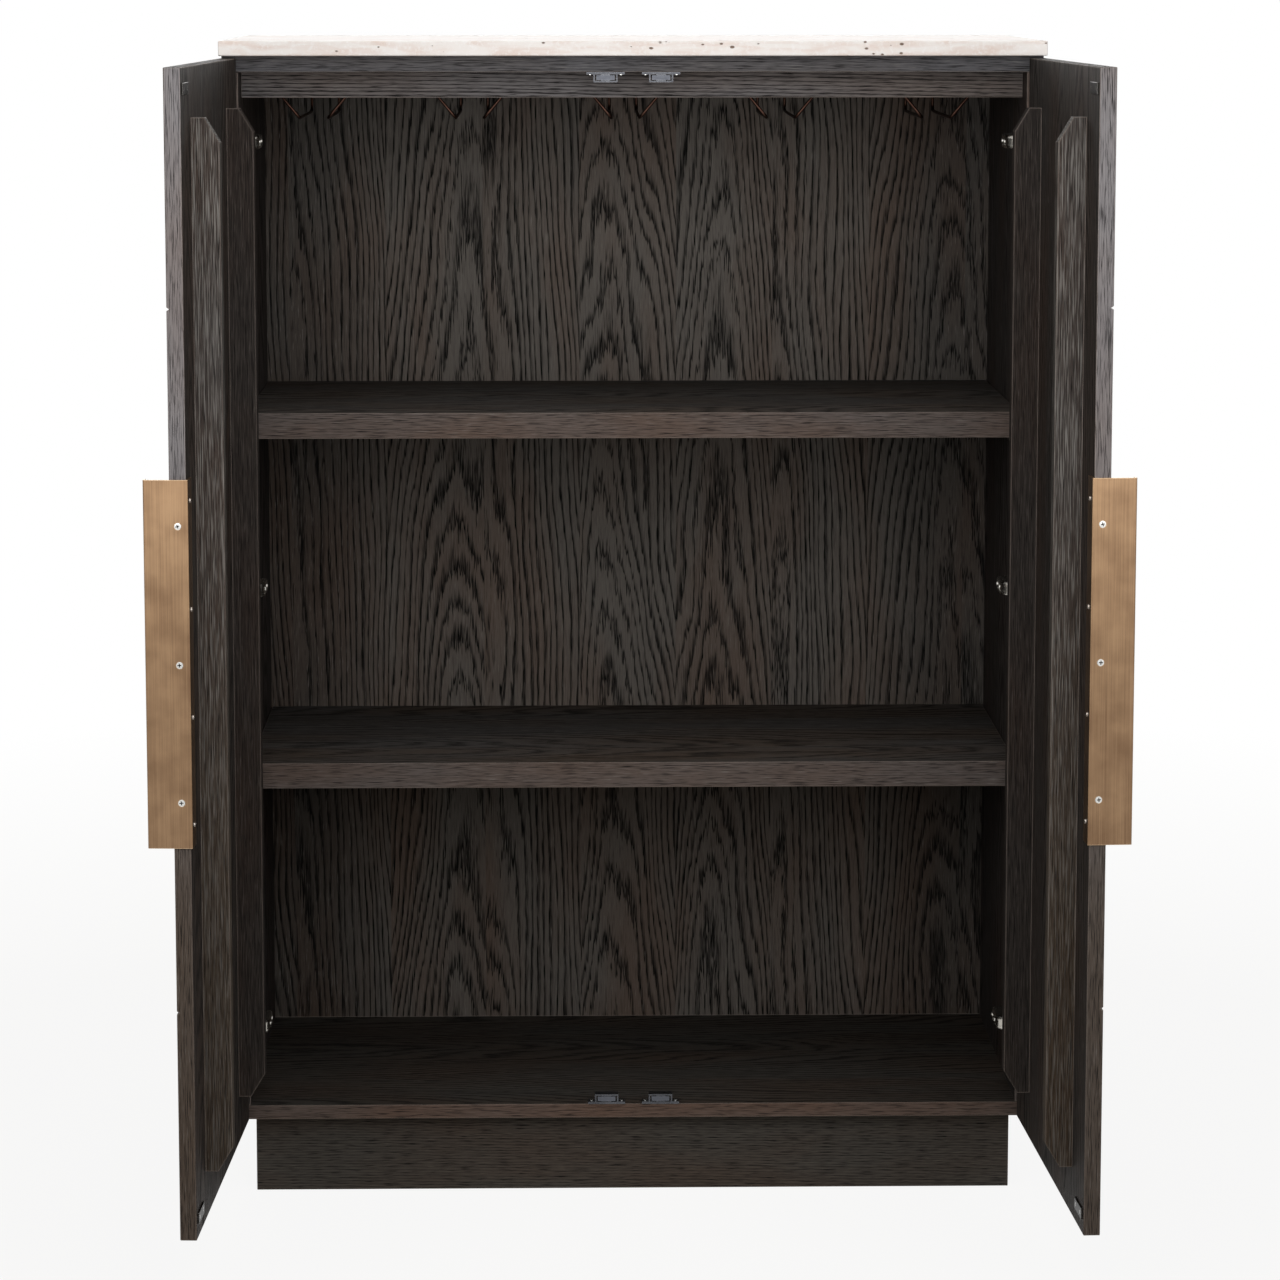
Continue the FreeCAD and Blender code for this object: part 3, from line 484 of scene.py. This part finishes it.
def nodeTree(name, inputs):
    tree = bpy.data.node_groups.new(name, "GeometryNodeTree")
    tree.interface.new_socket("Geometry", in_out="INPUT", socket_type="NodeSocketGeometry")
    for title, kind in inputs:
        tree.interface.new_socket(title, in_out="INPUT", socket_type=kind)
    tree.interface.new_socket("Geometry", in_out="OUTPUT", socket_type="NodeSocketGeometry")
    given = tree.nodes.new("NodeGroupInput")
    return tree, given.outputs


def withTree(name, mesh, tree, values):
    # an object that carries the tree, with its inputs set by identifier
    carrier = bpy.data.objects.new(name, mesh)
    bpy.context.scene.collection.objects.link(carrier)
    modifier = carrier.modifiers.new(tree.name, "NODES")
    modifier.node_group = tree
    for item in tree.interface.items_tree:
        if item.in_out == "INPUT" and item.name in values:
            modifier[item.identifier] = values[item.name]
    return carrier


def closeTree(tree, geometry, material):
    single = put(tree, "GeometryNodeRealizeInstances", {0: geometry})
    painted = put(tree, "GeometryNodeSetMaterial", {"Geometry": single, "Material": material})
    tree.links.new(painted, tree.nodes.new("NodeGroupOutput").inputs[0])


# Wire racks: each wire runs from the top panel down a splayed leg, back along a rail and up a straight leg.
# Lengths are mm here and below.
wireRack = {"count": 5, "pitch": 192.0, "offset": -8.0, "gap": 35.0, "drop": 58.0, "front": -140.0, "length": 250.0,
            "splay": 48.0, "radius": 2.0, "bend": 9.0, "bendSteps": 7, "sides": 16, "ceiling": 1402.0, "socket": 12.0}
rackTree, rackIn = nodeTree("BentWire", [("Wire Radius", "NodeSocketFloat"), ("Bend Radius", "NodeSocketFloat"),
                                         ("Sides", "NodeSocketInt"), ("Material", "NodeSocketMaterial")])
route = put(rackTree, "GeometryNodeMeshToCurve", {0: rackIn["Geometry"]})
bent = put(rackTree, "GeometryNodeFilletCurve", {"Curve": route, "Radius": rackIn["Bend Radius"],
                                                 "Count": wireRack["bendSteps"], "Limit Radius": True}, mode="POLY")
section = put(rackTree, "GeometryNodeCurvePrimitiveCircle", {"Resolution": rackIn["Sides"],
                                                             "Radius": rackIn["Wire Radius"]})
tube = put(rackTree, "GeometryNodeCurveToMesh", {0: bent, 1: section, "Fill Caps": True})
smooth = put(rackTree, "GeometryNodeSetShadeSmooth", {0: tube})
closeTree(rackTree, smooth, rackIn["Material"])

rail = wireRack["ceiling"] - wireRack["drop"]
top = wireRack["ceiling"] + wireRack["socket"]
out = wireRack["splay"] / wireRack["drop"] * (wireRack["drop"] + wireRack["socket"])
front, rear = wireRack["front"], wireRack["front"] + wireRack["length"]
for number in range(wireRack["count"]):
    middle = wireRack["offset"] + wireRack["pitch"] * (number - (wireRack["count"] - 1) / 2)
    points, edges = [], []
    for hand in (-1, 1):
        x = middle + hand * wireRack["gap"] / 2
        first = len(points)
        points += [(x + hand * out, front, top), (x, front, rail), (x, rear, rail), (x, rear, top)]
        edges += [(first + i, first + i + 1) for i in range(3)]
    mesh = bpy.data.meshes.new("route")
    mesh.from_pydata([tuple(c * mm for c in p) for p in points], edges, [])
    carrier = withTree("route", mesh, rackTree, {
        "Wire Radius": wireRack["radius"] * mm, "Bend Radius": wireRack["bend"] * mm, "Sides": wireRack["sides"],
        "Material": finish["AntiqueCopper"]})
    toMesh("rack_wires_%d" % (number + 1), carrier, "carcass", ["glass_rack_%d" % (number + 1)])
print("racks:", wireRack["count"])

# Screws: a turned head with a cross in it, set where the CAD has its screws.
# "way" is where the head faces with the doors shut, on the left; the right side mirrors it.
openAngle = math.radians(92.5)    # how far the stored pose has the doors open
screwHeads = {
    "pull_edge_screws": {"body": "door", "way": (1, 0, 0), "radius": 4.0, "height": 0.3, "dome": 0.1,
                         "length": 20.0},
    "pull_face_screws": {"body": "door", "way": (0, 1, 0), "radius": 2.6, "height": 0.9, "dome": 0.6, "length": 8.0},
    "cup_screws": {"body": "door", "way": (0, 1, 0), "radius": 3.5, "height": 1.2, "dome": 0.8, "length": 11.0},
    "strike_screws": {"body": "door", "way": (0, 1, 0), "radius": 2.4, "height": 0.2, "dome": 0.05, "length": 8.0},
    "hinge_arm_screws": {"body": "carcass", "way": (1, 0, 0), "radius": 2.6, "height": 0.9, "dome": 0.6,
                         "length": 8.0, "lift": 16.7},    # they stand on the channels below
    "hinge_plate_screws": {"body": "carcass", "way": (1, 0, 0), "radius": 3.5, "height": 1.2, "dome": 0.8,
                           "length": 11.0},
    "catch_screws": {"body": "carcass", "way": None, "radius": 2.6, "height": 0.9, "dome": 0.6, "length": 8.0},
    "back_panel_screws": {"body": "carcass", "way": (0, 1, 0), "radius": 3.5, "height": 1.2, "dome": 0.8,
                          "length": 22.0},
}
# shares of the head's radius or height; "rim", "floor" and "roof" bound the faces that count as in the cross
crossHead = {"sides": 28, "rings": 4, "slotLong": 1.15, "slotWide": 0.3, "slotDeep": 1.7, "rim": 0.97, "floor": 0.02,
             "roof": 0.9, "shankSides": 16, "shankWide": 0.5}
screwTree, screwIn = nodeTree("CrossHeadScrew", [
    ("Head Radius", "NodeSocketFloat"), ("Head Height", "NodeSocketFloat"), ("Dome", "NodeSocketFloat"),
    ("Shank Length", "NodeSocketFloat"), ("Seed", "NodeSocketInt"), ("Material", "NodeSocketMaterial")])
headRadius, headHeight = screwIn["Head Radius"], screwIn["Head Height"]
rim = put(screwTree, "GeometryNodeMeshCylinder", {
    "Vertices": crossHead["sides"], "Side Segments": 1, "Fill Segments": crossHead["rings"], "Radius": headRadius,
    "Depth": headHeight})
halfUp = put(screwTree, "ShaderNodeMath", {0: headHeight, 1: 0.5}, operation="MULTIPLY")
lift = put(screwTree, "ShaderNodeCombineXYZ", {2: halfUp})
raised = put(screwTree, "GeometryNodeTransform", {"Geometry": rim, "Translation": lift})
# the top rises to the middle
where = put(screwTree, "GeometryNodeInputPosition")
flat = put(screwTree, "ShaderNodeSeparateXYZ", {0: where}).node.outputs
plan = put(screwTree, "ShaderNodeVectorMath", {0: where, 1: (1, 1, 0)}, operation="MULTIPLY")
away = put(screwTree, "ShaderNodeVectorMath", {0: plan}, out="Value", operation="LENGTH")
ratio = put(screwTree, "ShaderNodeMath", {0: away, 1: headRadius}, operation="DIVIDE")
falloff = put(screwTree, "ShaderNodeMath", {0: ratio, 1: ratio}, operation="MULTIPLY")
rise = put(screwTree, "ShaderNodeMapRange", {0: falloff, 3: screwIn["Dome"], 4: 0.0})
upward = put(screwTree, "ShaderNodeCombineXYZ", {2: rise})
onTop = put(screwTree, "ShaderNodeMath", {0: flat["Z"], 1: halfUp}, operation="GREATER_THAN")
domed = put(screwTree, "GeometryNodeSetPosition", {"Geometry": raised, "Selection": onTop, "Offset": upward})
# the cross is two slots, cut out
slotLong = put(screwTree, "ShaderNodeMath", {0: headRadius, 1: crossHead["slotLong"]}, operation="MULTIPLY")
slotWide = put(screwTree, "ShaderNodeMath", {0: headRadius, 1: crossHead["slotWide"]}, operation="MULTIPLY")
topAt = put(screwTree, "ShaderNodeMath", {0: headHeight, 1: screwIn["Dome"]}, operation="ADD")
slotDeep = put(screwTree, "ShaderNodeMath", {0: topAt, 1: crossHead["slotDeep"]}, operation="MULTIPLY")
slotAt = put(screwTree, "ShaderNodeCombineXYZ", {2: topAt})
head = domed
for long, short in ((slotLong, slotWide), (slotWide, slotLong)):
    block = put(screwTree, "ShaderNodeCombineXYZ", {0: long, 1: short, 2: slotDeep})
    cube = put(screwTree, "GeometryNodeMeshCube", {"Size": block})
    cutter = put(screwTree, "GeometryNodeTransform", {"Geometry": cube, "Translation": slotAt})
    head = put(screwTree, "GeometryNodeMeshBoolean", {0: head, 1: cutter}, operation="DIFFERENCE", solver="EXACT")
# the faces in the cross are marked, so that painted shade can darken the plating there
inCross = put(screwTree, "ShaderNodeMath", {0: ratio, 1: crossHead["rim"]}, operation="LESS_THAN")
for bound, test in ((crossHead["floor"], "GREATER_THAN"), (crossHead["roof"], "LESS_THAN")):
    level = put(screwTree, "ShaderNodeMath", {0: headHeight, 1: bound}, operation="MULTIPLY")
    within = put(screwTree, "ShaderNodeMath", {0: flat["Z"], 1: level}, operation=test)
    inCross = put(screwTree, "ShaderNodeMath", {0: inCross, 1: within}, operation="MULTIPLY")
marked = put(screwTree, "GeometryNodeStoreNamedAttribute", {"Geometry": head, "Name": "recess", "Value": inCross},
             data_type="FLOAT", domain="FACE")
shankWide = put(screwTree, "ShaderNodeMath", {0: headRadius, 1: crossHead["shankWide"]}, operation="MULTIPLY")
shank = put(screwTree, "GeometryNodeMeshCylinder", {"Vertices": crossHead["shankSides"], "Radius": shankWide,
                                                    "Depth": screwIn["Shank Length"]})
shankDown = put(screwTree, "ShaderNodeMath", {0: screwIn["Shank Length"], 1: -0.5}, operation="MULTIPLY")
shankAt = put(screwTree, "ShaderNodeCombineXYZ", {2: shankDown})
hung = put(screwTree, "GeometryNodeTransform", {"Geometry": shank, "Translation": shankAt})
screw = put(screwTree, "GeometryNodeJoinGeometry", {0: marked})
screwTree.links.new(hung, screw.node.inputs[0])
# each screw stops at its own turn
facing = put(screwTree, "GeometryNodeInputNamedAttribute", {"Name": "way"}, data_type="FLOAT_VECTOR")
aimed = put(screwTree, "FunctionNodeAlignRotationToVector", {"Vector": facing}, axis="Z")
spin = put(screwTree, "FunctionNodeRandomValue", {2: 0.0, 3: math.tau, "Seed": screwIn["Seed"]}, out=1,
           data_type="FLOAT")
turned = put(screwTree, "FunctionNodeAxisAngleToRotation", {"Axis": (0, 0, 1), "Angle": spin})
stopped = put(screwTree, "FunctionNodeRotateRotation", {0: aimed, 1: turned}, rotation_space="LOCAL")
setIn = put(screwTree, "GeometryNodeInstanceOnPoints", {"Points": screwIn["Geometry"], "Instance": screw,
                                                        "Rotation": stopped})
closeTree(screwTree, setIn, screwIn["Material"])


def screwSeats(node, way, height):
    # one seat for each solid of a CAD node: the middle of its head and where the head faces
    sameSpot, halfHeight = 1e-6, 0.7    # without a way, screws above this height face down and others up
    solids = bmesh.new()
    solids.from_mesh(nodes[node].data)
    bmesh.ops.remove_doubles(solids, verts=solids.verts, dist=sameSpot)
    left, seats = set(solids.verts), []
    while left:
        island, front = [], [left.pop()]
        while front:
            vert = front.pop()
            island.append(vert.co.copy())
            near = {edge.other_vert(vert) for edge in vert.link_edges} & left
            left -= near
            front += near
        low = Vector([min(co[i] for co in island) for i in range(3)])
        high = Vector([max(co[i] for co in island) for i in range(3)])
        middle = (low + high) / 2
        facing = Vector(way) if way else Vector((0, 0, -1 if middle.z > halfHeight else 1))
        top = max(co.dot(facing) for co in island)
        seats.append((middle + facing * (top - height - middle.dot(facing)), facing))
    solids.free()
    return sorted(seats, key=lambda seat: tuple(round(c, 5) for c in seat[0]))


def setScrews(node, body, look, way, seed):
    seats = screwSeats(node, way, (look["height"] + look["dome"] - look.get("lift", 0.0)) * mm)
    mesh = bpy.data.meshes.new("seats")
    mesh.from_pydata([seat[0] for seat in seats], [], [])
    facing = mesh.attributes.new("way", "FLOAT_VECTOR", "POINT")
    facing.data.foreach_set("vector", [c for seat in seats for c in seat[1]])
    carrier = withTree("seats", mesh, screwTree, {
        "Head Radius": look["radius"] * mm, "Head Height": look["height"] * mm, "Dome": look["dome"] * mm,
        "Shank Length": look["length"] * mm, "Seed": seed, "Material": finish["ZincPlate"]})
    toMesh("cross_head_" + node, carrier, body, [node])
    return len(seats)


screwCount, firstSeed = 0, 5
for seed, (part, look) in enumerate(screwHeads.items(), firstSeed):
    if part in nodes:
        screwCount += setScrews(part, look["body"], look, look["way"], seed)
        continue
    for side, hand in hands.items():
        way = Vector((look["way"][0] * hand, look["way"][1], look["way"][2]))
        body = look["body"]
        if body == "door":
            way = Matrix.Rotation(-hand * openAngle, 3, "Z") @ way
            body = side + "door"
        screwCount += setScrews(side + part, body, look, way, seed)
print("screws:", screwCount)

# Hinge channels: a pressed channel over each arm, with the arm's two screws in the groove along its crown.
# "run" gives how far in from the carcass's front each section is, and how far its crown is from the side panel.
# The rest is the section's own, and the angle from which an edge stays sharp.
hingeChannel = {"run": ((4.0, 8.0), (7.0, 13.5), (11.0, 20.5), (15.0, 23.2), (19.0, 24.0), (57.0, 24.0), (61.0, 23.0),
                        (63.0, 20.0)), "foot": 4.2, "half": 8.6, "shoulder": 3.2, "round": 0.9, "crown": 5.6,
                "groove": 3.4, "grooveSlope": 0.3, "grooveDepth": 0.8, "creaseAngle": 50.0}


def hingeChannels(side, hand):
    look = hingeChannel
    edge, fillet, groove = look["half"], look["round"], look["groove"]
    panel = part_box(side + "side_panel")
    wall, front = panel[1 if hand > 0 else 0][0], panel[0][1]
    shell = bmesh.new()
    for seat in screwSeats(side + "hinge_arms", (hand, 0, 0), 0.0):
        rings = []
        for inward, crown in look["run"]:
            slope = [(edge, look["foot"]), (edge, crown - look["shoulder"]), (edge - fillet, crown - fillet),
                     (look["crown"], crown), (groove + look["grooveSlope"], crown),
                     (groove, crown - look["grooveDepth"])]
            section = slope + [(-across, out) for across, out in reversed(slope)]
            rings.append([shell.verts.new((wall + hand * out * mm, front + inward * mm, seat[0].z + across * mm))
                          for across, out in section])
        for one, two in zip(rings, rings[1:]):
            for i in range(len(one)):
                j = (i + 1) % len(one)
                shell.faces.new((one[i], one[j], two[j], two[i]))
        shell.faces.new(rings[0])
        shell.faces.new(rings[-1])
    bmesh.ops.recalc_face_normals(shell, faces=shell.faces)
    mesh = bpy.data.meshes.new(side + "hinge_channels")
    shell.to_mesh(mesh)
    shell.free()
    mesh.shade_smooth()
    mesh.set_sharp_from_angle(angle=math.radians(look["creaseAngle"]))
    mesh.materials.append(finish["NickelPlate"])
    piece = bpy.data.objects.new(mesh.name, mesh)
    bpy.context.scene.collection.objects.link(piece)
    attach(piece, "carcass")


for side, hand in hands.items():
    hingeChannels(side, hand)
print("hinge channels: done")

# Floor, light and camera, in metres, watts and degrees; the focal length is in pixels of the image
studio = {"world": 0.04, "floorSize": 40.0, "floor": "#ddd5ca", "whiteNear": 0.9, "fadeFrom": 1.2, "fadeTo": 3.2,
          "lamps": {"key": {"place": (0.0, -2.3, 1.7), "size": (5.0, 1.8), "power": 64.0, "aimAt": 2.4},
                    "top": {"place": (0.0, -1.4, 3.6), "size": (2.4, 1.6), "power": 36.0, "aimAt": 0.75},
                    "rear": {"place": (0.0, 3.6, 2.2), "size": (5.0, 1.2), "power": 60.0, "aimAt": 0.75}}}
shot = {"place": (-0.0851, -5.2106, 1.5189), "pitch": -7.474, "yaw": 1.071, "focal": 4094.54, "imageSide": 1280,
        "axisAt": 512,       # the row of the image where the lens points
        "sensor": 36.0}


def seenDirectly(tree):
    # 1 where the camera looks straight, through glass or by a mirror, and 0 for light that is cast on
    rays = put(tree, "ShaderNodeLightPath").node.outputs
    seen = rays["Is Camera Ray"]
    for other in ("Is Glossy Ray", "Is Transmission Ray"):
        seen = put(tree, "ShaderNodeMath", {0: seen, 1: rays[other]}, operation="MAXIMUM")
    return seen


# the floor keeps a trace of shadow near the cabinet and goes white further out
floorMesh = bpy.data.meshes.new("studio_floor")
half = studio["floorSize"] / 2
floorMesh.from_pydata([(-half, -half, 0), (half, -half, 0), (half, half, 0), (-half, half, 0)], [], [(0, 1, 2, 3)])
floor = bpy.data.objects.new("studio_floor", floorMesh)
bpy.context.scene.collection.objects.link(floor)
floorMaterial, tree = newMaterial("PaleFloor")
place = put(tree, "ShaderNodeTexCoord", out="Object")
away = put(tree, "ShaderNodeVectorMath", {0: place}, out="Value", operation="LENGTH")
fade = put(tree, "ShaderNodeMapRange", {0: away, 1: studio["fadeFrom"], 2: studio["fadeTo"], 3: studio["whiteNear"]})
share = put(tree, "ShaderNodeMath", {0: seenDirectly(tree), 1: fade}, operation="MULTIPLY")
matt = put(tree, "ShaderNodeBsdfDiffuse", {"Color": linear(studio["floor"])})
white = put(tree, "ShaderNodeEmission", {"Strength": 1.0})
mixed = put(tree, "ShaderNodeMixShader", {0: share, 1: matt, 2: white})
tree.links.new(mixed, tree.nodes.new("ShaderNodeOutputMaterial").inputs[0])
floorMesh.materials.append(floorMaterial)

# the world looks white and lights only a little
world = bpy.data.worlds.new("Studio")
bpy.context.scene.world = world
world.use_nodes = True
tree = world.node_tree
tree.nodes.clear()
level = put(tree, "ShaderNodeMapRange", {0: seenDirectly(tree), 3: studio["world"]})
sky = put(tree, "ShaderNodeBackground", {"Color": (1, 1, 1, 1), "Strength": level})
tree.links.new(sky, tree.nodes.new("ShaderNodeOutputWorld").inputs[0])

for name, look in studio["lamps"].items():
    lamp = bpy.data.lights.new(name, "AREA")
    lamp.shape = "RECTANGLE"
    lamp.size, lamp.size_y = look["size"]
    lamp.energy = look["power"]
    stand = bpy.data.objects.new(name, lamp)
    stand.location = look["place"]
    stand.visible_camera = False
    stand.rotation_euler = (Vector((0, 0, look["aimAt"])) - stand.location).to_track_quat("-Z", "Y").to_euler()
    bpy.context.scene.collection.objects.link(stand)

lens = bpy.data.cameras.new("camera")
lens.sensor_width = shot["sensor"]
lens.lens = shot["focal"] / shot["imageSide"] * lens.sensor_width
lens.shift_y = shot["axisAt"] / shot["imageSide"] - 0.5
camera = bpy.data.objects.new("camera", lens)
camera.location = shot["place"]
camera.rotation_euler = (math.radians(90 + shot["pitch"]), 0, math.radians(-shot["yaw"]))
bpy.context.scene.collection.objects.link(camera)
bpy.context.scene.camera = camera
bpy.context.scene.view_settings.view_transform = "Standard"
print("studio: done")
